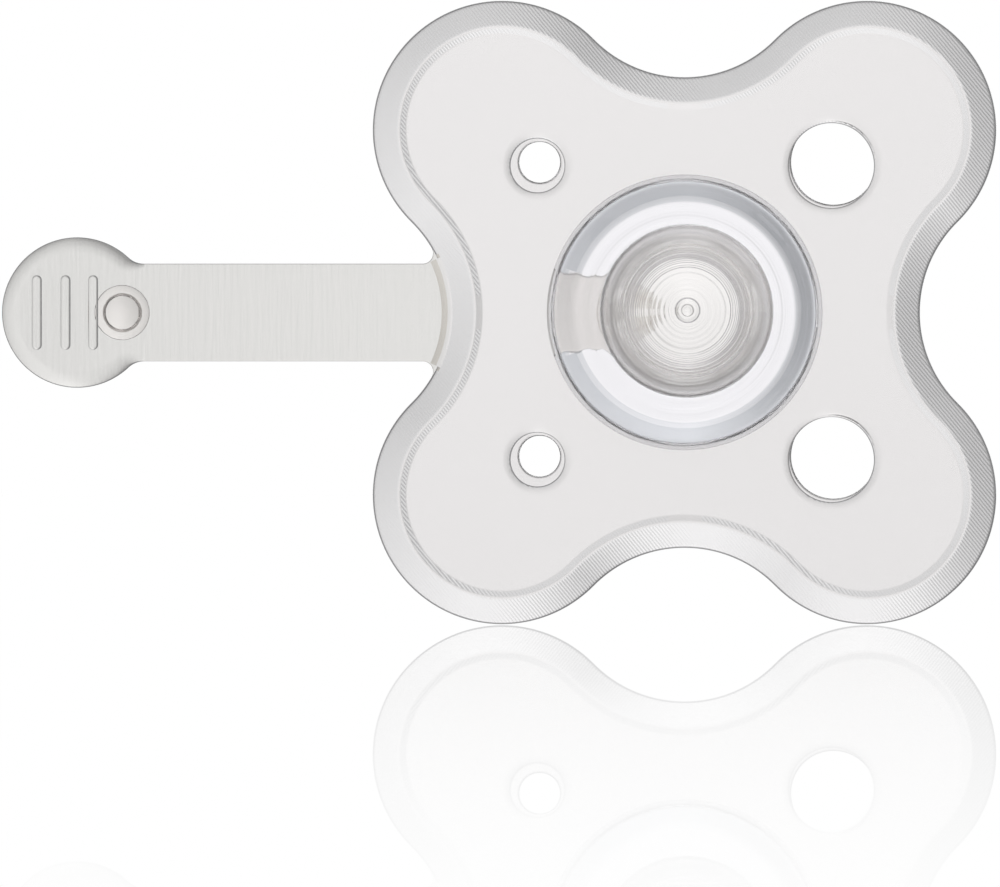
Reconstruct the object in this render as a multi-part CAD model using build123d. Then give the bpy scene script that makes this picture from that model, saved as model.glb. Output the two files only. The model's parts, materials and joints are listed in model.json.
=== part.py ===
from build123d import *
import math
import os

# Baby's pacifier moulded in clear silicone. A four-lobed shield carries a hollow teat in its middle,
# and a flat strap on one side folds over the shield's outer face, where its stud plugs into a tab
# that crosses the mouth of the teat.
# Frame: origin at the shield's centre, +X away from the strap, +Z up, +Y out of the mouth, so that
# the teat points along -Y. Lengths are in millimetres, angles in degrees.

# Shield outline: four round lobes joined by four concave sides
lobe_offset = 15.9        # lobe centre from the shield's centre, along X and along Z
lobe_radius = 11.25
waist_distance = 20.5     # shield's centre to the nearest point of a concave side

# Shield section, as positions along Y
outer_face = 1.25
inner_face = -1.25        # flat web, on the baby's side
crest_face = -1.45        # highest line of the rim
edge_face = -0.35         # foot of the rim's bevel, and the strap's near face
bevel_width = 1.75
crest_width = 0.15
rim_width = 2.7
edge_chamfer = 0.3

# Holes in the shield
hole_offset = 12.8        # from the shield's centre, along X and along Z
vent_radius = 3.7
small_hole_radius = 1.78
counterbore_radius = 2.35
counterbore_depth = 1.2

# Teat: a bell-shaped flare, a neck and a round bulb
flare_radius = 12.0
mouth_radius = 11.5
neck_radius = 6.4
neck_wall = 1.35
neck_y = -10.4            # narrowest place
bulb_radius = 7.5
bulb_wall = 1.7
bulb_y = -17.5            # centre of the bulb's sphere
bulb_join_angle = 22      # the sphere gives way to the neck this far behind its equator
flare_end = -6.5
neck_end = -13.0
gate_radius = 1.1
gate_depth = 0.15
pip_radius = 0.5
pip_height = 0.25

# Tab with the stud's socket
socket_x = -5.2
tab_thickness = 1.8
tab_width = 6.2
tab_nose_x = -6.2
tab_nose_radius = 3.3
tab_root_width = 8.2
tab_flare_x = -9.1        # the tab widens from here to its root
lip_radius = 1.6
lip_depth = 0.5
pocket_radius = 2.0
pocket_depth = 0.8
inset_depth = 0.2
slit_length = 2.3
slit_width = 0.8

# Strap
strap_width = 8.5
root_fillet = 0.9
link_length = 3.0
link_gap = 0.05
fold_links = 2
fold_angle = 63           # greatest turn at each fold line
disc_x = -52.9
disc_radius = 6.55
neck_fillet = 2.0
band_end = -46.5
disc_chamfer = 0.35

# Stud on the strap's outer face
stud_x = -49.0
stud_flange_radius = 2.4
stud_flange_height = 0.4
stud_stem_radius = 1.45
stud_stem_height = 0.6
stud_head_radius = 1.7
stud_head_height = 0.7
stud_head_round = 0.25

# Grip bars on the strap's near face
bar_positions = [-56.4, -53.9, -51.5]
bar_width = 0.87
bar_length = 6.5
bar_height = 0.45
bar_round = 0.2


def first_fold_line():
    # Where the strap must start to bend, so that the folded strap brings the stud's tip over the socket
    turns = [math.radians(fold_angle * number) for number in range(1, fold_links + 2)]
    loop = -link_length * sum(math.cos(turn) for turn in turns[:-1])
    stud_height = stud_flange_height + stud_stem_height + stud_head_height
    lean = stud_height * math.sin(turns[-1])
    reach = -math.cos(turns[-1])
    arm_offset = fold_links * link_length + stud_x
    return (socket_x - loop - lean + arm_offset * reach) / (1 + reach)


first_fold = first_fold_line()
fold_lines = [first_fold - number * link_length for number in range(fold_links + 1)]


def quarter_turned(point, quarter):
    x, z = point
    for _ in range(quarter):
        x, z = -z, x
    return x, z


def shield_outline(inset):
    # Eight tangent arcs, moved inwards by the inset
    waist_centre = (2 * lobe_offset**2 - (lobe_radius - waist_distance) ** 2) / (
        2 * (lobe_radius - waist_distance + lobe_offset)
    )
    along = waist_centre - lobe_offset
    share = (lobe_radius - inset) / math.hypot(along, lobe_offset)
    low = (lobe_offset + along * share, lobe_offset * (1 - share))
    high = (low[1], low[0])
    tip = lobe_offset + (lobe_radius - inset) * math.sqrt(0.5)
    arcs = []
    for quarter in range(4):
        lobe = [low, (tip, tip), high]
        side = [high, (0, waist_distance - inset), (-high[0], high[1])]
        arcs.append(ThreePointArc(*[quarter_turned(point, quarter) for point in lobe]))
        arcs.append(ThreePointArc(*[quarter_turned(point, quarter) for point in side]))
    return make_face(arcs)


def slab(face, y_low, y_high):
    # A face drawn in X and Z, thickened from one y to another
    placed = Pos(0, y_low, 0) * (Plane.XZ * face)
    return extrude(placed, y_high - y_low, dir=(0, 1, 0))


def sloped_slab(inset_low, y_low, inset_high, y_high):
    # The shield's outline, changing its inset from one y to another
    low = Pos(0, y_low, 0) * (Plane.XZ * shield_outline(inset_low))
    high = Pos(0, y_high, 0) * (Plane.XZ * shield_outline(inset_high))
    return loft([low, high], ruled=True)


def round_bar(radius, x, z, y_low, y_high):
    return slab(Pos(x, z) * Circle(radius), y_low, y_high)


def slice_along_y(solid, y_low, y_high):
    width = 4 * flare_radius
    return solid & Pos(0, (y_low + y_high) / 2, 0) * Box(width, y_high - y_low, width)


def make_shield_rim():
    wall = slab(shield_outline(0), edge_face, outer_face)
    far_edges = wall.faces().sort_by(Axis.Y)[-1].edges()
    wall = chamfer(far_edges, edge_chamfer)
    bevel = sloped_slab(bevel_width, crest_face, 0, edge_face)
    dip = sloped_slab(bevel_width + crest_width, crest_face, rim_width, inner_face)
    return wall + bevel - dip - slab(shield_outline(rim_width), crest_face, outer_face)


def make_shield_plate():
    plate = slab(shield_outline(rim_width), inner_face, outer_face)
    plate -= round_bar(flare_radius, 0, 0, inner_face, outer_face)
    for side in (-1, 1):
        z = side * hole_offset
        plate -= round_bar(vent_radius, hole_offset, z, inner_face, outer_face)
        plate -= round_bar(small_hole_radius, -hole_offset, z, inner_face, outer_face)
        step = inner_face + counterbore_depth
        plate -= round_bar(counterbore_radius, -hole_offset, z, inner_face, step)
    return plate


def wall_curve(sphere_radius, neck, shoulder, mouth):
    # One side of the teat's wall: the bulb's arc from its tip, then a smooth run to the mouth
    angle = math.radians(bulb_join_angle)
    tip = (0, bulb_y - sphere_radius)
    equator = (sphere_radius, bulb_y)
    join = (sphere_radius * math.cos(angle), bulb_y + sphere_radius * math.sin(angle))
    bulb = ThreePointArc(tip, quarter_point(sphere_radius), equator)
    back = TangentArc(equator, join, tangent=(0, 1))
    run = Spline(join, (neck, neck_y), *shoulder, mouth, tangents=[back % 1, (0.15, 1)])
    return [bulb, back, run]


def quarter_point(sphere_radius):
    reach = sphere_radius * math.sqrt(0.5)
    return reach, bulb_y - reach


def outer_wall():
    shoulder = [(6.8, -7.8), (8.0, -6.1), (9.6, -5.3), (11.3, -3.6)]
    return wall_curve(bulb_radius, neck_radius, shoulder, (flare_radius, inner_face))


def inner_wall():
    shoulder = [(5.4, -7.2), (6.7, -4.9), (8.6, -3.9), (10.5, -2.2)]
    neck = neck_radius - neck_wall
    return wall_curve(bulb_radius - bulb_wall, neck, shoulder, (mouth_radius, outer_face))


def make_hollow():
    # The space inside the teat, closed at its mouth
    tip = (0, bulb_y - bulb_radius + bulb_wall)
    lid = Polyline((mouth_radius, outer_face), (0, outer_face), tip)
    return revolve(make_face(inner_wall() + [lid]), Axis.Y)


def make_teat():
    tip = (0, bulb_y - bulb_radius)
    lid = Polyline((flare_radius, inner_face), (flare_radius, outer_face), (0, outer_face), tip)
    bell = revolve(make_face(outer_wall() + [lid]), Axis.Y)
    return bell - make_hollow()


def make_gate_pip():
    floor = bulb_y - bulb_radius + gate_depth
    return round_bar(pip_radius, 0, 0, floor - pip_height, floor)


def gate_dish():
    tip = bulb_y - bulb_radius
    return round_bar(gate_radius, 0, 0, tip - 1, tip + gate_depth)


def make_socket_tab():
    root_x = -flare_radius
    half = tab_width / 2
    root_half = tab_root_width / 2
    tongue = Polyline(
        (tab_nose_x, half), (tab_flare_x, half), (root_x, root_half),
        (root_x, -root_half), (tab_flare_x, -half), (tab_nose_x, -half), close=True,
    )
    shape = make_face(tongue) + Pos(tab_nose_x, 0) * Circle(tab_nose_radius)
    near = outer_face - tab_thickness
    pocket_far = outer_face - lip_depth
    tab = slab(shape, near, outer_face) & make_hollow()
    tab -= round_bar(lip_radius, socket_x, 0, pocket_far, outer_face)
    tab -= round_bar(pocket_radius, socket_x, 0, pocket_far - pocket_depth, pocket_far)
    half_disc = Circle(pocket_radius) & Pos(pocket_radius, 0) * Rectangle(2 * pocket_radius, 2 * pocket_radius)
    tab -= slab(Pos(socket_x, 0) * half_disc, near, near + inset_depth)
    slit = Pos(socket_x + slit_length / 2, 0) * Rectangle(slit_length, slit_width)
    return tab - slab(slit, near, pocket_far - pocket_depth)


def strap_rectangle(x_low, x_high):
    return Pos((x_low + x_high) / 2, 0) * Rectangle(x_high - x_low, strap_width)


def make_strap_root():
    strap = strap_rectangle(first_fold + link_gap / 2, 1 - waist_distance)
    joined = shield_outline(0) + strap
    corners = [
        corner for corner in joined.vertices()
        if abs(abs(corner.Y) - strap_width / 2) < 0.01 and corner.X > first_fold + 1
    ]
    return slab(fillet(corners, root_fillet) - shield_outline(0), edge_face, outer_face)


def make_strap_link(number):
    low = fold_lines[number] + link_gap / 2
    high = fold_lines[number - 1] - link_gap / 2
    return slab(strap_rectangle(low, high), edge_face, outer_face)


def strap_end_shape():
    strap = strap_rectangle(disc_x, fold_lines[-1] - link_gap / 2)
    joined = strap + Pos(disc_x, 0) * Circle(disc_radius)
    corners = [
        corner for corner in joined.vertices()
        if abs(abs(corner.Y) - strap_width / 2) < 0.01 and corner.X < band_end
    ]
    return fillet(corners, neck_fillet)


def make_strap_band():
    keep = strap_rectangle(band_end, fold_lines[-1])
    return slab(strap_end_shape() & keep, edge_face, outer_face)


def make_strap_disc():
    disc = slab(strap_end_shape() - strap_rectangle(band_end, first_fold), edge_face, outer_face)
    rims = [
        edge for face in (disc.faces().sort_by(Axis.Y)[0], disc.faces().sort_by(Axis.Y)[-1])
        for edge in face.edges() if edge.center().X < band_end - 0.01
    ]
    return chamfer(rims, disc_chamfer)


def make_grip_bar(x):
    outline = Pos(x, 0) * Rot(0, 0, 90) * SlotOverall(bar_length, bar_width)
    bar = slab(outline, edge_face - bar_height, edge_face)
    return fillet(bar.faces().sort_by(Axis.Y)[0].edges(), bar_round)


def make_stud():
    flange_top = outer_face + stud_flange_height
    stem_top = flange_top + stud_stem_height
    head_top = stem_top + stud_head_height
    flange = round_bar(stud_flange_radius, stud_x, 0, outer_face, flange_top)
    stem = round_bar(stud_stem_radius, stud_x, 0, flange_top, stem_top)
    head = round_bar(stud_head_radius, stud_x, 0, stem_top, head_top)
    head = fillet(head.faces().sort_by(Axis.Y)[-1].edges(), stud_head_round)
    return {"stud_flange": flange, "stud_stem": stem, "stud_head": head}


def make_parts():
    teat = make_teat() - gate_dish()
    parts = {
        "shield_plate": make_shield_plate(),
        "shield_rim": make_shield_rim(),
        "teat_flare": slice_along_y(teat, flare_end, outer_face),
        "teat_neck": slice_along_y(teat, neck_end, flare_end),
        "teat_bulb": slice_along_y(teat, bulb_y - bulb_radius, neck_end),
        "gate_pip": make_gate_pip(),
        "socket_tab": make_socket_tab(),
        "strap_root": make_strap_root(),
        "strap_band": make_strap_band(),
        "strap_disc": make_strap_disc(),
    }
    for number in range(1, fold_links + 1):
        parts[f"strap_link_{number}"] = make_strap_link(number)
    for number, x in enumerate(bar_positions, start=1):
        parts[f"grip_bar_{number}"] = make_grip_bar(x)
    parts.update(make_stud())
    return parts


os.makedirs("parts", exist_ok=True)
for name, solid in make_parts().items():
    export_step(solid, f"parts/{name}.step")
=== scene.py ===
import json
import math
import bpy
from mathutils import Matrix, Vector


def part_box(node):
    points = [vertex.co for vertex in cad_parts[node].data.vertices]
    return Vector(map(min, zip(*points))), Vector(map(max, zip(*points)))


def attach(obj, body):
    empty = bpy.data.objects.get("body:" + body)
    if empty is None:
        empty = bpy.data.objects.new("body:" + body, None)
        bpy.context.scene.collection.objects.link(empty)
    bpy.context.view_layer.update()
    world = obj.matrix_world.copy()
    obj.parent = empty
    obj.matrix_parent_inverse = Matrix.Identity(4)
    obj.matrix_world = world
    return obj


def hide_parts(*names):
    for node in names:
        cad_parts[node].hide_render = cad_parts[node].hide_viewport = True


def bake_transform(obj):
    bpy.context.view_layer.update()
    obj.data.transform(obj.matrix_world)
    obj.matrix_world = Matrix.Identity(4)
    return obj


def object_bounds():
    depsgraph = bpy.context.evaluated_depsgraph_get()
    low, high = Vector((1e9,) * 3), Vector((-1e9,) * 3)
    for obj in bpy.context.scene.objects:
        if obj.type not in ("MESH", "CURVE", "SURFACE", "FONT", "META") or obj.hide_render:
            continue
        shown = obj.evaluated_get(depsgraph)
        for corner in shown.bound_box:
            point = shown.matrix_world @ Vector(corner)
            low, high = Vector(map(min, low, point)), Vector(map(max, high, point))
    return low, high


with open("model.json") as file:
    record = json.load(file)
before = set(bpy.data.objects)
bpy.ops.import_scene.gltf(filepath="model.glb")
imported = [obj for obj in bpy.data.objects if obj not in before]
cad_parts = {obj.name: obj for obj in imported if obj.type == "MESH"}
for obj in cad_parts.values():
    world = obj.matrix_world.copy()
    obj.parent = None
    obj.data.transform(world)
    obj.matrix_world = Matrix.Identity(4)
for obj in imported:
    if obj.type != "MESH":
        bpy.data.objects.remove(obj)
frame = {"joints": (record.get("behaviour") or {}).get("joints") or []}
cadLow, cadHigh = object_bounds()
print("CAD nodes loaded")

mm = 0.001  # the scene is in metres, and a piece is modelled in millimetres until it is finished
mergeDistance = 0.0005
skin = 0.02  # how far a face stays inside the solid's, so that no two faces coincide
hair = 0.01  # a small lap between two cuts
smoothAngle = 35  # degrees, and a sharper edge stays crisp
sharpAngle = 60  # degrees, and roundings are put on sharper edges only


def boxOf(node):
    low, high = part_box(node)
    return low / mm, high / mm


def activate(piece):
    if bpy.context.mode != "OBJECT":
        bpy.ops.object.mode_set(mode="OBJECT")
    bpy.ops.object.select_all(action="DESELECT")
    piece.select_set(True)
    bpy.context.view_layer.objects.active = piece


def editing(piece, mode="VERT"):
    activate(piece)
    bpy.ops.object.mode_set(mode="EDIT")
    bpy.ops.mesh.select_mode(type=mode)
    bpy.ops.mesh.select_all(action="SELECT")


def drawPath(name, points):
    # one vertex, extruded from point to point, with x across, y through the shield and z up
    bpy.ops.object.select_all(action="DESELECT")
    bpy.ops.mesh.primitive_plane_add(size=1, location=points[0])
    piece = bpy.context.object
    piece.name = name
    bpy.ops.object.transform_apply(location=True, rotation=False, scale=False)
    editing(piece)
    bpy.ops.mesh.merge(type="CENTER")
    for here, there in zip(points, points[1:]):
        step = [b - a for a, b in zip(here, there)]
        bpy.ops.mesh.extrude_vertices_move(TRANSFORM_OT_translate={"value": step})
    bpy.ops.mesh.select_all(action="SELECT")
    return piece


def tidyMesh(piece):
    editing(piece)
    bpy.ops.mesh.remove_doubles(threshold=mergeDistance)
    bpy.ops.mesh.normals_make_consistent(inside=False)
    bpy.ops.object.mode_set(mode="OBJECT")
    return piece


def lathe(name, profile, steps, centre=(0, 0), start=0, sweep=360):
    # a profile of (radius, y) turned about a line along Y through the centre (x, z)
    x, z = centre
    across, up = math.cos(math.radians(start)), math.sin(math.radians(start))
    piece = drawPath(name, [(x + radius * across, y, z + radius * up) for radius, y in profile])
    bpy.ops.mesh.spin(steps=steps, angle=math.radians(sweep), center=(x, 0, z), axis=(0, 1, 0))
    bpy.ops.mesh.select_all(action="SELECT")
    bpy.ops.mesh.remove_doubles(threshold=mergeDistance)
    if sweep < 360:
        bpy.ops.mesh.select_all(action="SELECT")
        bpy.ops.mesh.fill_holes(sides=0)
    return tidyMesh(piece)


def plateFrom(name, outline, yLow, yHigh):
    # a closed outline of (x, z) points, filled and thickened from one y to another
    points = [(x, yLow, z) for x, z in outline]
    piece = drawPath(name, points + points[:1])
    bpy.ops.mesh.remove_doubles(threshold=mergeDistance)
    bpy.ops.mesh.select_all(action="SELECT")
    bpy.ops.mesh.edge_face_add()
    bpy.ops.mesh.extrude_region_move(TRANSFORM_OT_translate={"value": (0, yHigh - yLow, 0)})
    return tidyMesh(piece)


def combine(piece, other, operation):
    change = piece.modifiers.new("combine", "BOOLEAN")
    change.object = other
    change.operation = operation
    change.solver = "EXACT"
    activate(piece)
    bpy.ops.object.modifier_apply(modifier="combine")
    bpy.data.objects.remove(other)


def roundEdges(piece, width, segments, angle):
    rounding = piece.modifiers.new("rounding", "BEVEL")
    rounding.width = width
    rounding.segments = segments
    rounding.limit_method = "ANGLE"
    rounding.angle_limit = math.radians(angle)
    rounding.miter_outer = "MITER_ARC"
    activate(piece)
    bpy.ops.object.modifier_apply(modifier="rounding")


def arc(centre, radius, start, end, steps):
    # points of (x, z) along an arc, degrees anticlockwise from +X
    turns = [math.radians(start + (end - start) * i / steps) for i in range(steps + 1)]
    return [(centre[0] + radius * math.cos(t), centre[1] + radius * math.sin(t)) for t in turns]


def smoothRun(points, steps):
    # a soft curve through every point, for the teat's wall
    run = []
    padded = [points[0]] + points + [points[-1]]
    for a, b, c, d in zip(padded, padded[1:], padded[2:], padded[3:]):
        for i in range(steps):
            t = i / steps
            run.append(tuple(
                0.5 * (2 * b[k] + (c[k] - a[k]) * t + (2 * a[k] - 5 * b[k] + 4 * c[k] - d[k]) * t * t
                       + (3 * b[k] - a[k] - 3 * c[k] + d[k]) * t ** 3) for k in (0, 1)))
    return run + [points[-1]]


def finishPiece(piece, name):
    piece.name = name
    piece.data.name = name
    activate(piece)
    piece.scale = (mm, mm, mm)
    bpy.ops.object.transform_apply(location=True, rotation=True, scale=True)
    bpy.ops.object.shade_smooth_by_angle(angle=math.radians(smoothAngle))
    evening = piece.modifiers.new("evening", "WEIGHTED_NORMAL")  # keeps the flat faces flat up to their edges
    evening.mode = "FACE_AREA"
    evening.weight = 100
    evening.keep_sharp = True
    bpy.ops.object.modifier_apply(modifier="evening")
    print(f"{name}: {len(piece.data.polygons)} faces")
    return piece


# the shield's outline and section
rimLow, rimHigh = boxOf("shield_rim")
plateLow, plateHigh = boxOf("shield_plate")
shield = {
    "lobeRadius": 11.25,
    "waistDistance": 20.5,  # from the centre to the nearest point of a concave side
    "edgeFace": -0.35,      # foot of the bevel, level with the strap's near face
    "bevelWidth": 2.2,
    "crestWidth": 0.12,
    "rimMargin": 0.3,       # how far the rim's inner slope runs past its solid
    "easing": ((0.15, 0.02), (0.1, 0.02), (0.15, 0.06)),  # across and deep, at the web and beside the crest
    "footCurve": ((0.3, -0.26), (0.14, -0.16), (0.04, -0.02), (0, 0.16)),  # inset and y, from the bevel's foot
    "edgeRound": 0.3,
    "lobeSteps": 88,
    "waistSteps": 44,
}
shield["half"] = rimHigh.x
shield["rimWidth"] = rimHigh.x - plateHigh.x
shield["lobeOffset"] = shield["half"] - shield["lobeRadius"]


def waistCircle():
    # the concave side's circle touches both lobes
    offset, radius, nearest = shield["lobeOffset"], shield["lobeRadius"], shield["waistDistance"]
    centre = (2 * offset ** 2 - (radius - nearest) ** 2) / (2 * (radius - nearest + offset))
    return centre, centre - nearest


def rimSection():
    # (inset from the outline, y), from the near web over the bevel and the side wall to the far web
    inner, outer, crest = plateLow.y, plateHigh.y, rimLow.y
    rim, bevel, foot, soft = shield["rimWidth"], shield["bevelWidth"], shield["edgeFace"], shield["edgeRound"]
    flat = bevel + shield["crestWidth"]
    web = rim + shield["rimMargin"]
    (webIn, webRise), (slopeIn, slopeDrop), (bevelIn, bevelDrop) = shield["easing"]
    section = [(web, inner), (web - webIn, inner - webRise), (flat + slopeIn, crest + slopeDrop), (flat, crest),
               (bevel, crest), (bevel - bevelIn, crest + bevelDrop)]
    section += [(inset, foot + y) for inset, y in shield["footCurve"]]
    section += [(0, outer - soft)]
    section += [(soft - soft * math.cos(math.radians(a)), outer - soft + soft * math.sin(math.radians(a)))
                for a in (22, 45, 67, 90)]
    return section + [(web, outer)]


def makeShield():
    # the section is swept round each lobe and each concave side in turn
    offset, radius = shield["lobeOffset"], shield["lobeRadius"]
    waistCentre = waistCircle()[0]
    below = math.degrees(math.atan2(offset, waistCentre - offset))
    start = math.radians(-below)
    points = [(offset + (radius - inset) * math.cos(start), y, offset + (radius - inset) * math.sin(start))
              for inset, y in rimSection()]
    piece = drawPath("shieldRim", points)
    quarterTurns = [(1, 1), (-1, 1), (-1, -1), (1, -1)]
    waists = [(0, 1), (-1, 0), (0, -1), (1, 0)]
    for lobe, waist in zip(quarterTurns, waists):
        bpy.ops.mesh.spin(steps=shield["lobeSteps"], angle=math.radians(90 + 2 * below), axis=(0, 1, 0),
                          center=(lobe[0] * offset, 0, lobe[1] * offset))
        bpy.ops.mesh.spin(steps=shield["waistSteps"], angle=-math.radians(2 * below), axis=(0, 1, 0),
                          center=(waist[0] * waistCentre, 0, waist[1] * waistCentre))
    bpy.ops.mesh.select_all(action="SELECT")
    bpy.ops.mesh.remove_doubles(threshold=mergeDistance)
    bpy.ops.mesh.select_all(action="DESELECT")
    bpy.ops.mesh.select_non_manifold(extend=False)
    bpy.ops.mesh.edge_face_add()
    return tidyMesh(piece)


# the teat with its bell, neck and bulb, and its hollow
bulbLow, bulbHigh = boxOf("teat_bulb")
flareLow, flareHigh = boxOf("teat_flare")
teat = {
    "wall": 1.7,            # of the bulb
    "neckRadius": 6.4,
    "neckWall": 1.35,
    "neckY": -10.4,
    "joinAngle": 22,        # the bulb gives way to the neck this many degrees behind its equator
    "mouthRadius": 11.5,
    "outerShoulder": [(6.6, -8.1), (7.3, -6.3), (8.4, -5.65), (9.6, -5.1), (10.6, -3.8), (11.3, -2.5)],
    "innerShoulder": [(5.25, -7.4), (6.1, -5.2), (7.6, -4.2), (9.2, -3.6), (10.6, -2.5), (11.3, -1.2)],
    "gateRadius": 1.1,
    "gateDepth": 0.15,
    "pipRadius": 0.5,
    "pipHeight": 0.25,
    "pipSoft": 0.12,
    "rootY": 0.2,           # the bell's solid runs into the web as far as this
    "bulbSteps": 40,
    "wallSteps": 10,
    "steps": 160,
}
teat["tip"] = bulbLow.y
teat["radius"] = (bulbHigh.x - bulbLow.x) / 2
teat["bulbY"] = teat["tip"] + teat["radius"]
teat["flareRadius"] = flareHigh.x


def wallProfile(sphere, neck, shoulder, mouth):
    # (radius, y) from near the tip, round the bulb, down the neck and out to the mouth
    start = -90 + math.degrees(math.asin(teat["gateRadius"] / sphere))
    bulb = arc((0, teat["bulbY"]), sphere, start, teat["joinAngle"], teat["bulbSteps"])
    run = smoothRun([bulb[-1], (neck, teat["neckY"])] + shoulder + [mouth], teat["wallSteps"])
    return bulb[:-1] + run


def makeBell():
    # the tip has a shallow dish with the moulding's gate mark, a small pip, in its middle
    dish, pip, soft = teat["gateRadius"], teat["pipRadius"], teat["pipSoft"]
    floor = teat["tip"] + teat["gateDepth"]
    top = floor - teat["pipHeight"]
    tip = [(0, top), (pip - soft, top), (pip - 0.03, top + 0.04), (pip, top + soft), (pip + 0.04, floor - 0.02),
           (pip + soft, floor), (dish - 0.15, floor), (dish - 0.04, floor - 0.04)]
    end = (teat["flareRadius"], plateLow.y)
    wall = wallProfile(teat["radius"], teat["neckRadius"], teat["outerShoulder"], end)
    root = [(teat["flareRadius"], teat["rootY"]), (0, teat["rootY"])]
    return lathe("bell", tip + wall + root, teat["steps"])


def makeHollow():
    sphere = teat["radius"] - teat["wall"]
    neck = teat["neckRadius"] - teat["neckWall"]
    wall = wallProfile(sphere, neck, teat["innerShoulder"], (teat["mouthRadius"], plateHigh.y))
    ceiling = [(0, teat["bulbY"] - sphere)]
    out = plateHigh.y + 1  # clear of the far face
    return lathe("hollow", ceiling + wall + [(teat["mouthRadius"] + 0.2, out), (0, out)], teat["steps"])


# holes through the shield's web
holes = {
    "offset": 12.8,
    "ventRadius": 3.7,
    "smallRadius": 1.78,
    "stepRadius": 2.35,
    "stepDepth": 1.2,
    "soft": 0.22,           # rounding of the moulded edges
    "runOut": (1.2, 0.45),  # how a cut leaves the web, across and outward
    "sink": (0.07, 0.85),   # the near face dips a little towards each hole, deep and wide
    "sinkMiddle": (0.6, 0.3),  # shares of the sink's width and depth at a point halfway
    "farShift": (0.19, 0.29),  # the mould's two halves don't quite meet
    "parting": 0.35,        # y where they meet in a vent hole
    "steps": 96,
}


def flaredEnd(radius, face, outward):
    # a round edge where a hole meets a face; outward is the sign of y that leaves the web
    soft, (across, out) = holes["soft"], holes["runOut"]
    points = []
    for angle in (0, 20, 40, 60, 75):
        turn = math.radians(angle)
        points.append((radius + soft - soft * math.cos(turn), face - outward * soft * (1 - math.sin(turn))))
    return points + [(points[-1][0] + across, face + outward * out)]


def cutHole(piece, centre, nearRadius, farRadius, step):
    # the near cut makes the sunken face and the bore down to the step, and the far cut the rest
    (sink, reach), (outShare, deepShare) = holes["sink"], holes["sinkMiddle"]
    near = [(r, y + sink) for r, y in flaredEnd(nearRadius, plateLow.y, -1)[:-1]]
    near += [(nearRadius + outShare * reach, plateLow.y + deepShare * sink),
             (nearRadius + reach, plateLow.y - hair), (nearRadius + reach + 0.3, plateLow.y - 0.1)]
    middle = [(nearRadius, step), (0, step)]
    nearProfile = [(0, near[-1][1])] + near[::-1] + middle
    combine(piece, lathe("nearCut", nearProfile, holes["steps"], centre), "DIFFERENCE")
    far = flaredEnd(farRadius, plateHigh.y, 1)
    shifted = (centre[0] + holes["farShift"][0], centre[1] + holes["farShift"][1])
    start = [(0, step - hair), (farRadius, step - hair)]
    combine(piece, lathe("farCut", start + far + [(0, far[-1][1])], holes["steps"], shifted), "DIFFERENCE")


def cutHoles(piece):
    offset = holes["offset"]
    for side in (-1, 1):
        cutHole(piece, (offset, side * offset), holes["ventRadius"], holes["ventRadius"], holes["parting"])
        step = plateLow.y + holes["stepDepth"]
        cutHole(piece, (-offset, side * offset), holes["stepRadius"], holes["smallRadius"], step)


# the tab across the mouth of the hollow, with a pocket for the stud
tabLow, tabHigh = boxOf("socket_tab")
tab = {
    "width": 6.2,
    "noseRadius": 3.3,
    "rootWidth": 8.2,
    "flareX": -9.1,         # the tab widens from here to its root
    "rootCurve": ((-10.6, 0.55), (-9.9, 0.12)),  # x, and the step in from the root or out from the tab
    "rootOverlap": 0.25,
    "edgeRound": 0.2,
    "socketX": -5.2,
    "lipRadius": 1.6,
    "lipDepth": 0.5,
    "pocketRadius": 2.0,
    "pocketDepth": 0.8,
    "insetDepth": 0.2,
    "slit": (2.3, 0.8),     # length and width
    "steps": 64,
}
tab["noseX"] = tabHigh.x - tab["noseRadius"]


def makeTab():
    half, rootHalf, flareX, nose = tab["width"] / 2, tab["rootWidth"] / 2, tab["flareX"], tab["noseX"]
    lean = math.degrees(math.asin(half / tab["noseRadius"]))
    rootX = -teat["flareRadius"] + tab["rootOverlap"]
    (wideX, inward), (slimX, outward) = tab["rootCurve"]
    upper = [(rootX, rootHalf), (wideX, rootHalf - inward), (slimX, half + outward), (flareX, half)]
    outline = arc((nose, 0), tab["noseRadius"], -lean, lean, 40) + upper[::-1] + [(x, -z) for x, z in upper]
    piece = plateFrom("tab", outline, tabLow.y, tabHigh.y - skin)
    roundEdges(piece, tab["edgeRound"], 3, sharpAngle)
    pocketFar = plateHigh.y - tab["lipDepth"]
    pocketNear = pocketFar - tab["pocketDepth"]
    out = 2  # clear of the tab's far face
    socket = [(0, pocketNear), (tab["pocketRadius"], pocketNear), (tab["pocketRadius"], pocketFar),
              (tab["lipRadius"], pocketFar), (tab["lipRadius"], out), (0, out)]
    combine(piece, lathe("socket", socket, tab["steps"], (tab["socketX"], 0)), "DIFFERENCE")
    inset = arc((tab["socketX"], 0), tab["pocketRadius"], -90, 90, tab["steps"] // 2)
    combine(piece, plateFrom("inset", inset, tabLow.y - 1, tabLow.y + tab["insetDepth"]), "DIFFERENCE")
    length, width = tab["slit"]
    left, right = tab["socketX"] + skin, tab["socketX"] + length - skin
    slit = [(left, -width / 2), (right, -width / 2), (right, width / 2), (left, width / 2)]
    combine(piece, plateFrom("slit", slit, tabLow.y - 1, pocketNear + 0.1), "DIFFERENCE")
    return piece


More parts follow.
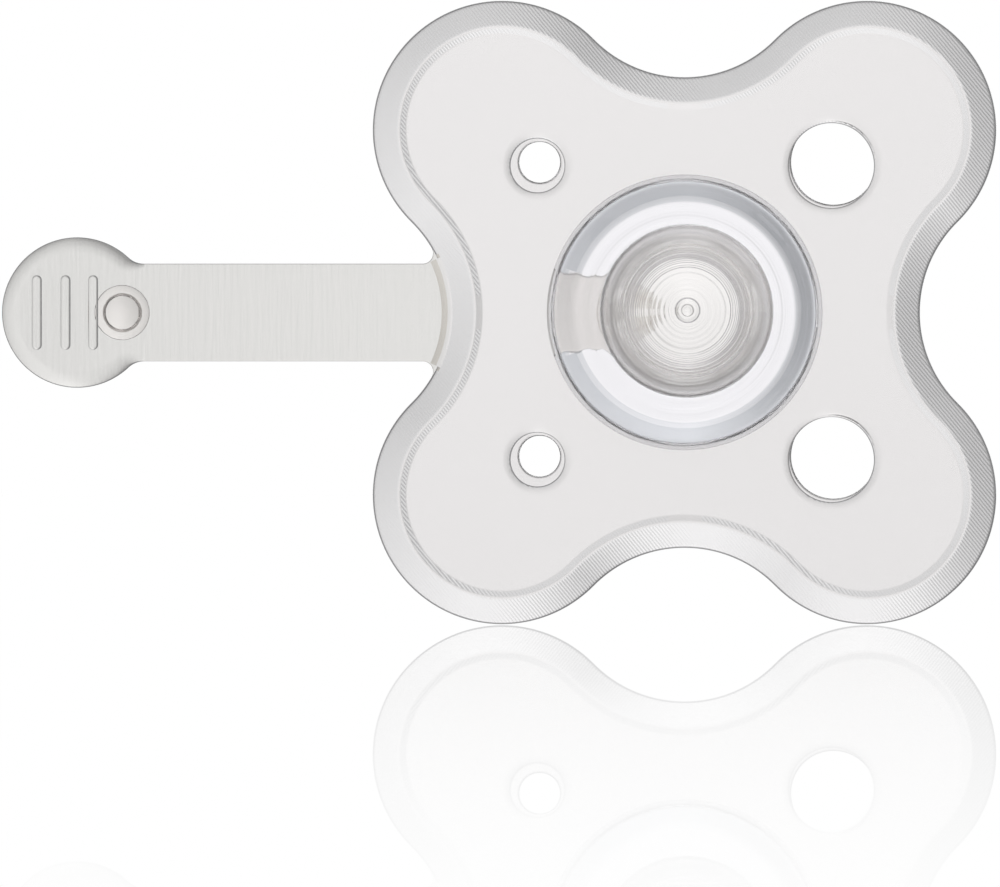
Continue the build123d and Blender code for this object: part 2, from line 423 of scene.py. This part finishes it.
# the strap, modelled whole and then divided where it folds
strapLow, strapHigh = boxOf("strap_band")
discLow, discHigh = boxOf("strap_disc")
foldLines = [joint["pos_m"][0] / mm for joint in frame["joints"]]
strap = {
    "rootX": -19.6,         # inner end, inside the shield
    "rootFillet": 0.9,
    "rootLength": 1.15,     # kept with the shield ahead of the first fold line
    "neckFillet": 2.0,
    "edgeRound": 0.32,
    "foldCut": 0.25,        # spacing of the cuts where the strap bends
    "discSoft": (1.4, 0.62),   # broad rounding of the disc's near edge, across and deep
    "neckSoft": (0.36, 0.2),   # what that narrows to along the neck
    "neckParts": 7,
    "neckLap": 0.7,         # degrees that each part laps over the next
    "rootRamp": (0.65, 0.3),   # slope from the strap up to the foot of the shield's bevel, wide and high
    "rampSpread": 25,       # degrees to either side, more than the strap's width
    "barX": [-56.4, -53.9, -51.5],
    "barWidth": 0.87,
    "barLength": 6.5,
    "barHeight": 0.45,
    "barRound": 0.2,
    "near": strapLow.y + skin,
    "far": strapHigh.y - skin,
}
strap["half"] = strapHigh.z
strap["discRadius"] = discHigh.z
strap["discX"] = discLow.x + strap["discRadius"]
linkHalf = (foldLines[0] - foldLines[1]) / 2
cuts = [foldLines[0] + strap["rootLength"], foldLines[0] - linkHalf, foldLines[1] - linkHalf]


def neckCentre():
    # centre of the fillet between disc and strap, and the angle at which it meets the disc
    height = strap["half"] + strap["neckFillet"]
    across = math.sqrt((strap["discRadius"] + strap["neckFillet"]) ** 2 - height ** 2)
    return strap["discX"] + across, height, math.degrees(math.atan2(height, across))


def strapOutline():
    half, fillet, disc, discX = strap["half"], strap["rootFillet"], strap["discRadius"], strap["discX"]
    waistCentre, waistRadius = waistCircle()
    reach = math.sqrt((waistRadius - fillet) ** 2 - (half + fillet) ** 2)
    filletX = -waistCentre + reach
    lean = math.degrees(math.atan2(half + fillet, reach))
    root = [(strap["rootX"], (half + fillet) * waistRadius / (waistRadius - fillet))]
    root += arc((filletX, half + fillet), fillet, lean, -90, 14)
    neck = strap["neckFillet"]
    neckX, neckZ, turn = neckCentre()
    upper = root + arc((neckX, neckZ), neck, -90, -180 + turn, 16)
    upper += arc((discX, 0), disc, turn, 180, 72)[1:]
    lower = [(x, -z) for x, z in upper[-2::-1]]
    return upper + lower


def makeBar(x):
    half = strap["barWidth"] / 2
    reach = strap["barLength"] / 2 - half
    outline = arc((x, reach), half, 0, 180, 14) + arc((x, -reach), half, 180, 360, 14)
    piece = plateFrom("bar", outline, strap["near"] - strap["barHeight"], strap["near"] + 0.15)
    roundEdges(piece, strap["barRound"], 4, sharpAngle)
    return piece


def makeStud():
    flangeLow, flangeHigh = boxOf("stud_flange")
    stemLow, stemHigh = boxOf("stud_stem")
    headLow, headHigh = boxOf("stud_head")
    centre = (flangeLow + flangeHigh) / 2
    # radii of the three steps, whose edges are eased by a tenth or two
    flange, stem, head = [(high.z - low.z) / 2 for low, high in
                          ((flangeLow, flangeHigh), (stemLow, stemHigh), (headLow, headHigh))]
    profile = [(0, strap["far"] - 0.3), (flange, strap["far"] - 0.3), (flange, flangeHigh.y - 0.15),
               (flange - 0.05, flangeHigh.y - 0.04), (flange - 0.18, flangeHigh.y), (stem + 0.15, flangeHigh.y),
               (stem, flangeHigh.y + 0.12), (stem, stemHigh.y), (head - 0.08, stemHigh.y),
               (head, stemHigh.y + 0.1), (head, headHigh.y - 0.25), (head - 0.08, headHigh.y - 0.08),
               (head - 0.28, headHigh.y), (0, headHigh.y)]
    return lathe("stud", profile, 80, (centre.x, centre.z))


def softCut(radius, across, deep, outward):
    # closed section (radius, y) that rounds a near edge at a radius; outward is -1 where the edge is concave
    near = strap["near"]
    curve = []
    for degrees in range(0, 90, 6):
        turn = math.radians(degrees)
        curve.append((radius - outward * across * (1 - math.sin(turn)), near + deep * (1 - math.cos(turn))))
    beyond = radius + outward
    return curve + [(beyond, curve[-1][1] + 0.05), (beyond, near - 1), (curve[0][0], near - 1), curve[0]]


def softenDisc(piece):
    # the disc's broad rounding narrows along the neck to that of the strap's edges
    across, deep = strap["discSoft"]
    (fade, shallow), parts = strap["neckSoft"], strap["neckParts"]
    neckX, neckZ, turn = neckCentre()
    ring = lathe("discEdge", softCut(strap["discRadius"], across, deep, 1), 110, (strap["discX"], 0), turn,
                 360 - 2 * turn)
    combine(piece, ring, "DIFFERENCE")
    sweep, lap = (90 - turn) / parts, strap["neckLap"]
    for i in range(parts):
        part = (i + 0.5) / parts
        width, depth = across + (fade - across) * part, deep + (shallow - deep) * part
        section = softCut(strap["neckFillet"], width, depth, -1)
        for start, z in ((180 + turn + i * sweep, neckZ), (180 - turn - (i + 1) * sweep, -neckZ)):
            cut = lathe("neckEdge", section, 6, (neckX, z), start - lap, sweep + 2 * lap)
            combine(piece, cut, "DIFFERENCE")


def makeRootRamp():
    # a small slope on the strap's near face along the shield's outline
    wide, high = strap["rootRamp"]
    centre, radius = waistCircle()
    near, spread = strap["near"], strap["rampSpread"]
    profile = [(radius - wide, near + 0.2), (radius - wide, near - hair), (radius - 0.12, near - high),
               (radius + 0.3, near - high - 0.02), (radius + 0.3, near + 0.2)]
    ramp = lathe("rootRamp", profile + profile[:1], 80, (-centre, 0), -spread, 2 * spread)
    combine(ramp, plateFrom("rootLimit", strapOutline(), near - 1, near + 1), "INTERSECT")
    return ramp


def makeStrap():
    piece = plateFrom("strap", strapOutline(), strap["near"], strap["far"])
    roundEdges(piece, strap["edgeRound"], 4, sharpAngle)
    softenDisc(piece)
    for x in strap["barX"]:
        combine(piece, makeBar(x), "UNION")
    combine(piece, makeStud(), "UNION")
    return piece


def slicedCopy(whole, name, xHigh, xLow):
    # the stretch of the strap between two values of x, closed at its cut ends
    activate(whole)
    bpy.ops.object.duplicate()
    piece = bpy.context.object
    piece.name = name
    for x, side in ((xHigh, 1), (xLow, -1)):
        if x is not None:
            editing(piece)
            bpy.ops.mesh.bisect(plane_co=(x, 0, 0), plane_no=(side, 0, 0), use_fill=True, clear_outer=True)
    return tidyMesh(piece)


def cutForBending(piece, xHigh, xLow):
    # close cuts across the strap, so that it can follow its bend
    x = xHigh - strap["foldCut"]
    while x > xLow + 0.05:
        editing(piece)
        bpy.ops.mesh.bisect(plane_co=(x, 0, 0), plane_no=(1, 0, 0))
        x -= strap["foldCut"]
    tidyMesh(piece)


print("modelling the strap")
pieceNames = ["strapFoldNear", "strapFoldMiddle", "strapWithDisc"]
wholeStrap = makeStrap()
strapRoot = slicedCopy(wholeStrap, "strapRoot", None, cuts[0])
foldPieces = [slicedCopy(wholeStrap, name, xHigh, xLow)
              for name, xHigh, xLow in zip(pieceNames, cuts, cuts[1:] + [None])]
bpy.data.objects.remove(wholeStrap)
foldEnds = [(cuts[0], cuts[1]), (cuts[1], cuts[2]), (cuts[2], foldLines[2] - linkHalf)]
for piece, (xHigh, xLow) in zip(foldPieces, foldEnds):
    cutForBending(piece, xHigh, xLow)

print("modelling the shield and teat")
moulding = makeShield()
combine(moulding, makeBell(), "UNION")
combine(moulding, makeHollow(), "DIFFERENCE")
cutHoles(moulding)
combine(moulding, makeTab(), "UNION")
combine(moulding, strapRoot, "UNION")
combine(moulding, makeRootRamp(), "UNION")
tidyMesh(moulding)

finishPiece(moulding, "shieldAndTeat")
for piece, name in zip(foldPieces, pieceNames):
    finishPiece(piece, name)


def linear(hexColour):
    # sRGB hex to Blender's linear colour
    values = [int(hexColour[i:i + 2], 16) / 255 for i in (1, 3, 5)]
    return tuple(v / 12.92 if v <= 0.04045 else ((v + 0.055) / 1.055) ** 2.4 for v in values) + (1,)


def addNode(tree, kind, settings=None, inputs=None, links=None):
    node = tree.nodes.new(kind)
    for key, value in (settings or {}).items():
        setattr(node, key, value)
    for key, value in (inputs or {}).items():
        node.inputs[key].default_value = value
    for key, source in (links or {}).items():
        tree.links.new(source, node.inputs[key])
    return node


siliconeIor = 1.41


def silicone(name, settings, marks):
    # milk is the share of light that clear silicone scatters; marks(tree, place) gives the height of the marks
    material = bpy.data.materials.new(name)
    material.use_nodes = True
    tree = material.node_tree
    tree.nodes.clear()
    place = addNode(tree, "ShaderNodeTexCoord").outputs["Object"]
    bump = addNode(tree, "ShaderNodeBump", {}, {
        "Strength": settings["strength"], "Distance": settings["depth"] * mm}, {"Height": marks(tree, place)})
    body = addNode(tree, "ShaderNodeBsdfPrincipled", {}, {
        "Base Color": linear(settings["colour"]), "Roughness": settings["roughness"], "IOR": siliconeIor,
        "Transmission Weight": 1 - settings["milk"],
    }, {"Normal": bump.outputs["Normal"]})
    addNode(tree, "ShaderNodeOutputMaterial", {}, {}, {"Surface": body.outputs["BSDF"]})
    return material


# sizes in mm of the marks that the mould leaves, all drawn coarser, as the real ones are nearer 0.05 mm
markSizes = {
    "grain": 0.3,
    "rings": 0.3,
    "streaks": 0.35,
    "streakSquash": 0.06,   # a streak's width as a share of its length
    "hatch": 0.8,           # its lines come out 0.25 mm apart
    "hatchTurn": -50,       # degrees
}


def grainMarks(tree, place):
    # the grain of a blasted mould
    return addNode(tree, "ShaderNodeTexNoise", {}, {
        "Scale": 1 / (markSizes["grain"] * mm), "Detail": 3, "Roughness": 0.6,
    }, {"Vector": place}).outputs["Fac"]


def turningMarks(tree, place):
    # rings about the Y axis, from turning the mould of the teat
    flat = addNode(tree, "ShaderNodeVectorMath", {"operation": "MULTIPLY"}, {1: (1, 0, 1)}, {0: place})
    radius = addNode(tree, "ShaderNodeVectorMath", {"operation": "LENGTH"}, {}, {0: flat.outputs["Vector"]})
    rings = addNode(tree, "ShaderNodeCombineXYZ", {}, {}, {"X": radius.outputs["Value"]})
    return addNode(tree, "ShaderNodeTexNoise", {}, {
        "Scale": 1 / (markSizes["rings"] * mm), "Detail": 2, "Roughness": 0.5,
    }, {"Vector": rings.outputs["Vector"]}).outputs["Fac"]


def streakMarks(tree, place):
    # faint upright streaks, from milling the mould along Z
    squash = (1, 1, markSizes["streakSquash"])
    along = addNode(tree, "ShaderNodeMapping", {}, {"Scale": squash}, {"Vector": place})
    return addNode(tree, "ShaderNodeTexNoise", {}, {
        "Scale": 1 / (markSizes["streaks"] * mm), "Detail": 2, "Roughness": 0.6,
    }, {"Vector": along.outputs["Vector"]}).outputs["Fac"]


def hatchMarks(tree, place):
    # close slanting lines, from grinding the mould where it makes the bevel
    turned = addNode(tree, "ShaderNodeMapping", {}, {
        "Rotation": (0, math.radians(markSizes["hatchTurn"]), 0)}, {"Vector": place})
    return addNode(tree, "ShaderNodeTexWave", {"wave_type": "BANDS", "bands_direction": "Z"}, {
        "Scale": 1 / (markSizes["hatch"] * mm), "Distortion": 0.8, "Detail": 2, "Detail Scale": 2,
    }, {"Vector": turned.outputs["Vector"]}).outputs["Fac"]


print("making the materials")

# clear silicone rubber moulded on a finely blasted plate: even and pale grey, with a soft satin sheen
web = silicone("satinSilicone", {
    "colour": "#E7E5E5", "roughness": 0.08, "milk": 0.08, "depth": 0.02, "strength": 0.3}, grainMarks)

# clear silicone rubber from a turned mould: glassy, with faint rings that catch the light
clear = silicone("turnedSilicone", {
    "colour": "#F6F5F8", "roughness": 0.05, "milk": 0.1, "depth": 0.03, "strength": 0.5}, turningMarks)

# the same, painted darker as shade round the near side of the teat's base: a cool blue-grey band
shoulder = silicone("shadedShoulderSilicone", {
    "colour": "#DDDFE4", "roughness": 0.05, "milk": 0.15, "depth": 0.03, "strength": 0.5}, turningMarks)

# silicone rubber of the bulb, from a coarsely turned mould: a warm, slightly cloudy ball with clear rings
bulb = silicone("bulbSilicone", {
    "colour": "#FAF8F7", "roughness": 0.04, "milk": 0.15, "depth": 0.06, "strength": 0.8}, turningMarks)

# clear silicone rubber from a milled mould: the strap, warm grey with soft upright streaks
streaked = silicone("milledSilicone", {
    "colour": "#DFDEDC", "roughness": 0.05, "milk": 0.08, "depth": 0.03, "strength": 0.5}, streakMarks)

# silicone rubber of the stud, solid and thick: paler and a little cloudy
stud = silicone("studSilicone", {
    "colour": "#F3EEEB", "roughness": 0.08, "milk": 0.15, "depth": 0.01, "strength": 0.3}, grainMarks)

# silicone rubber of the tab, from a milled mould: a warm white through the teat
tabFinish = silicone("tabSilicone", {
    "colour": "#FAF7F2", "roughness": 0.05, "milk": 0.12, "depth": 0.03, "strength": 0.5}, streakMarks)

# silicone rubber where the strap meets the shield's bevel, two thicknesses deep: a thin beige line
rampFinish = silicone("rampSilicone", {
    "colour": "#CFC9C0", "roughness": 0.08, "milk": 0.1, "depth": 0.01, "strength": 0.3}, grainMarks)

# clear silicone rubber from a ground mould: the bevel, bright or grey by its slope, with a fine slanting hatch
ground = silicone("groundSilicone", {
    "colour": "#ECECED", "roughness": 0.06, "milk": 0.08, "depth": 0.02, "strength": 0.7}, hatchMarks)

# silicone rubber on walls that stand nearly along the view, painted a smoky grey: painted shade that draws thin
# dark outlines
edge = silicone("shadedEdgeSilicone", {
    "colour": "#8C8C8E", "roughness": 0.1, "milk": 0.1, "depth": 0.01, "strength": 0.3}, grainMarks)


def joinMaterial():
    # the strap is one moulding, so light passes straight through where two lengths of it meet
    material = bpy.data.materials.new("siliconeJoin")
    material.use_nodes = True
    tree = material.node_tree
    tree.nodes.clear()
    through = addNode(tree, "ShaderNodeBsdfTransparent", {}, {"Color": (1, 1, 1, 1)})
    addNode(tree, "ShaderNodeOutputMaterial", {}, {}, {"Surface": through.outputs["BSDF"]})
    return material


join = joinMaterial()

# where each finish lies, in mm
areas = {
    "teatRadius": 12,       # all of the teat is nearer to the axis
    "shoulder": (9.6, 11.45, -0.8),  # between two radii, and on the near side of y
    "overTab": 3.5,         # half the width over the tab that is left out of the shoulder
    "bulbEnd": 3.2,         # past the bulb's centre
    "tabRadius": 11.3,
    "tabHalf": 4.2,
    "tabMargin": 0.1,
    "bevelRadius": 18,      # all of the bevel is farther from the axis
    "bevelY": -0.3,         # and nearer than this
    "barHalf": 3.4,
    "rootX": -20.7,
    "rootHalf": 5.4,
    "rootY": -0.6,
    "rampX": -20,
    "rampHalf": 5,
    "rampHeight": 0.4,
}
tilts = {"flat": 0.999, "sloped": 0.97, "steep": 0.65, "upright": 0.1}  # how much of a face's normal is along Y


def onWeb(face):
    # the flat faces of the web and of the strip behind the bevel
    level = min(abs(face.center.y / mm - plateLow.y), abs(face.center.y / mm - plateHigh.y))
    return abs(face.normal.y) > tilts["flat"] and level < skin


def fromAxis(face):
    return math.hypot(face.center.x, face.center.z) / mm


def isTeat(face):
    return fromAxis(face) < areas["teatRadius"] and not onWeb(face)


# the faces that take the painted shade round the teat's base
def isShadedShoulder(face):
    near, far, highest = areas["shoulder"]
    overTab = face.center.x < 0 and abs(face.center.z / mm) < areas["overTab"]
    return near < fromAxis(face) < far and not onWeb(face) and not overTab and face.center.y < highest * mm


def isBulb(face):
    return face.center.y < (teat["bulbY"] + areas["bulbEnd"]) * mm


def isTab(face):
    x, y, z = face.center / mm
    margin = areas["tabMargin"]
    inside = fromAxis(face) < areas["tabRadius"] and abs(z) < areas["tabHalf"] and not onWeb(face)
    return inside and tabLow.y - 0.03 < y < tabHigh.y + margin and x < tabHigh.x + margin


def isBevel(face):
    sloped = tilts["upright"] < abs(face.normal.y) < tilts["sloped"]
    return sloped and face.center.y < areas["bevelY"] * mm and fromAxis(face) > areas["bevelRadius"]


def isEdge(face):
    # walls that stand nearly along Y, which take the painted dark outlines
    return abs(face.normal.y) < tilts["steep"] and fromAxis(face) > areas["teatRadius"]


def isShadedStrapEdge(face):
    # painted shade: the dark outlines go on the right side of the bars only, as if they were lit from the left
    onBar = abs(face.center.z / mm) < areas["barHalf"] and face.center.y / mm < strap["near"] + 0.05
    return isEdge(face) and not isStud(face) and (not onBar or face.normal.x > 0.2)


def isStud(face):
    return face.center.y / mm > strap["far"] + hair


def isRoot(face):
    x, y, z = face.center / mm
    return x < areas["rootX"] and abs(z) < areas["rootHalf"] and y > areas["rootY"] and not isBevel(face)


def isRamp(face):
    x, y, z = face.center / mm
    onSlope = abs(face.normal.y) < tilts["sloped"] and -areas["rampHeight"] < y - strap["near"] < 0.02
    return onSlope and x < areas["rampX"] and abs(z) < areas["rampHalf"]


def isJoin(face):
    return abs(face.normal.x) > tilts["flat"] and min(abs(face.center.x / mm - x) for x in cuts) < hair


def paint(piece, finishes):
    # the first finish covers all, and each later one the faces that its test picks
    piece.data.materials.clear()
    for number, (material, test) in enumerate(finishes):
        piece.data.materials.append(material)
        if number:
            for face in piece.data.polygons:
                if test(face):
                    face.material_index = number


# two finishes hold painted shade: the dark outlines on the steep walls and the darker band round the teat's
# base
paint(moulding, [(web, None), (clear, isTeat), (shoulder, isShadedShoulder), (bulb, isBulb), (tabFinish, isTab),
                 (ground, isBevel), (streaked, isRoot), (edge, isEdge), (rampFinish, isRamp), (join, isJoin)])
for piece in foldPieces:
    paint(piece, [(streaked, None), (edge, isShadedStrapEdge), (stud, isStud), (join, isJoin)])

# the moulding rides on the shield, and each length of the strap stays where it was modelled, with the CAD nodes
# it stands for hidden
print("placing the pieces on their bodies")
replaced = [("strap_root",), ("strap_link_1",),
            ("strap_link_2", "strap_band", "strap_disc", "grip_bar_1", "grip_bar_2", "grip_bar_3",
             "stud_flange", "stud_stem", "stud_head")]
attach(moulding, "shield")
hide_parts("shield_plate", "shield_rim", "teat_flare", "teat_neck", "teat_bulb", "gate_pip",
            "socket_tab")
for number, (piece, (xHigh, xLow)) in enumerate(zip(foldPieces, foldEnds)):
    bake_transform(piece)
    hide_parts(*replaced[number])

# the camera looks straight along Y, from far off
print("placing the camera, the lit room and the floor")
view = {
    "across": 0.0871,       # width of the view at the shield
    "distance": 1.55,
    "leftMargin": 0.00017,
    "topMargin": 0.00007,
    "aspect": 887 / 1000,
    "clip": (0.01, 50),
}
aimX = cadLow.x - view["leftMargin"] + view["across"] / 2
aimZ = cadHigh.z + view["topMargin"] - view["across"] * view["aspect"] / 2
bpy.ops.object.camera_add(location=(aimX, -view["distance"], aimZ), rotation=(math.pi / 2, 0, 0))
camera = bpy.context.object
camera.data.lens = camera.data.sensor_width * view["distance"] / view["across"]
camera.data.clip_start, camera.data.clip_end = view["clip"]
bpy.context.scene.camera = camera
bpy.context.scene.view_settings.view_transform = "Standard"

room = {
    "wall": 1.12,           # light of the walls before and behind the pacifier
    "dim": 0.25,            # at their border
    "wallFrom": (0.76, 0.93),  # share of a direction that is along Y, at the border and in full light
    "side": 0.85,
    "gap": 0.38,            # least light, between the walls and the sides
    "sideTo": (0.70, 0.78),
    "ground": 0.5,          # share of a wall's light that is left towards each side of it
    "sky": 1.2,
    "left": 0.15,
    "right": 0.72,
    "reach": {"ground": -0.3, "sky": 0.27, "left": -0.3, "right": 0.3},
}


def makeWorld():
    # what the silicone bends the light from, white to the camera itself
    world = bpy.data.worlds.new("studio")
    bpy.context.scene.world = world
    world.use_nodes = True
    tree = world.node_tree
    tree.nodes.clear()
    place = addNode(tree, "ShaderNodeTexCoord")
    split = addNode(tree, "ShaderNodeSeparateXYZ", {}, {}, {"Vector": place.outputs["Generated"]})
    facing = addNode(tree, "ShaderNodeMath", {"operation": "ABSOLUTE"}, {}, {0: split.outputs["Y"]})
    near, far = room["wallFrom"]
    level = addNode(tree, "ShaderNodeMapRange", {"interpolation_type": "SMOOTHSTEP"}, {
        "From Min": near, "From Max": far, "To Min": room["dim"], "To Max": room["wall"],
    }, {"Value": facing.outputs[0]}).outputs["Result"]
    for axis, side in (("Z", "ground"), ("Z", "sky"), ("X", "left"), ("X", "right")):
        fall = addNode(tree, "ShaderNodeMapRange", {}, {
            "From Min": room["reach"][side], "From Max": 0, "To Min": room[side], "To Max": 1.0,
        }, {"Value": split.outputs[axis]})
        level = addNode(tree, "ShaderNodeMath", {"operation": "MULTIPLY"}, {},
                        {0: level, 1: fall.outputs["Result"]}).outputs[0]
    near, far = room["sideTo"]
    side = addNode(tree, "ShaderNodeMapRange", {"interpolation_type": "SMOOTHSTEP"}, {
        "From Min": near, "From Max": far, "To Min": room["side"], "To Max": room["gap"],
    }, {"Value": facing.outputs[0]}).outputs["Result"]
    level = addNode(tree, "ShaderNodeMath", {"operation": "MAXIMUM"}, {}, {0: level, 1: side}).outputs[0]
    path = addNode(tree, "ShaderNodeLightPath")
    white = addNode(tree, "ShaderNodeMath", {"operation": "MAXIMUM"}, {},
                    {0: path.outputs["Is Camera Ray"], 1: path.outputs["Is Singular Ray"]})
    shade = addNode(tree, "ShaderNodeMix", {}, {3: 1.0}, {0: white.outputs[0], 2: level})
    light = addNode(tree, "ShaderNodeBackground", {}, {"Color": (1, 1, 1, 1)}, {"Strength": shade.outputs[0]})
    addNode(tree, "ShaderNodeOutputWorld", {}, {}, {"Surface": light.outputs["Background"]})


makeWorld()

floorSettings = {"size": 8, "gap": 0.00005, "shine": 0.5, "fadeFrom": -1.0}  # it shines less towards the camera


def makeFloor():
    # polished white acrylic: a bright sheet that mirrors the pacifier faintly
    bpy.ops.object.select_all(action="DESELECT")
    place = (0, 0, cadLow.z - floorSettings["gap"])
    bpy.ops.mesh.primitive_plane_add(size=floorSettings["size"], location=place)
    floor = bpy.context.object
    floor.name = "floor"
    bpy.ops.object.transform_apply(location=True, rotation=False, scale=False)
    material = bpy.data.materials.new("polishedAcrylic")
    material.use_nodes = True
    tree = material.node_tree
    tree.nodes.clear()
    place = addNode(tree, "ShaderNodeTexCoord")
    split = addNode(tree, "ShaderNodeSeparateXYZ", {}, {}, {"Vector": place.outputs["Object"]})
    fade = addNode(tree, "ShaderNodeMapRange", {}, {
        "From Min": floorSettings["fadeFrom"], "From Max": 0.0, "To Min": 0.0, "To Max": floorSettings["shine"],
    }, {"Value": split.outputs["Y"]})
    path = addNode(tree, "ShaderNodeLightPath")
    level = addNode(tree, "ShaderNodeMix", {}, {2: room["ground"], 3: 1.0}, {0: path.outputs["Is Camera Ray"]})
    glow = addNode(tree, "ShaderNodeEmission", {}, {"Color": (1, 1, 1, 1)}, {"Strength": level.outputs[0]})
    shine = addNode(tree, "ShaderNodeBsdfGlossy", {}, {"Color": (1, 1, 1, 1), "Roughness": 0.0})
    amount = addNode(tree, "ShaderNodeMath", {"operation": "MULTIPLY"}, {},
                     {0: fade.outputs["Result"], 1: path.outputs["Is Camera Ray"]})
    both = addNode(tree, "ShaderNodeMixShader", {}, {}, {
        "Fac": amount.outputs[0], 1: glow.outputs["Emission"], 2: shine.outputs["BSDF"]})
    addNode(tree, "ShaderNodeOutputMaterial", {}, {}, {"Surface": both.outputs["Shader"]})
    floor.data.materials.append(material)
    floor.visible_transmission = False  # the silicone bends light from the lit room alone


makeFloor()
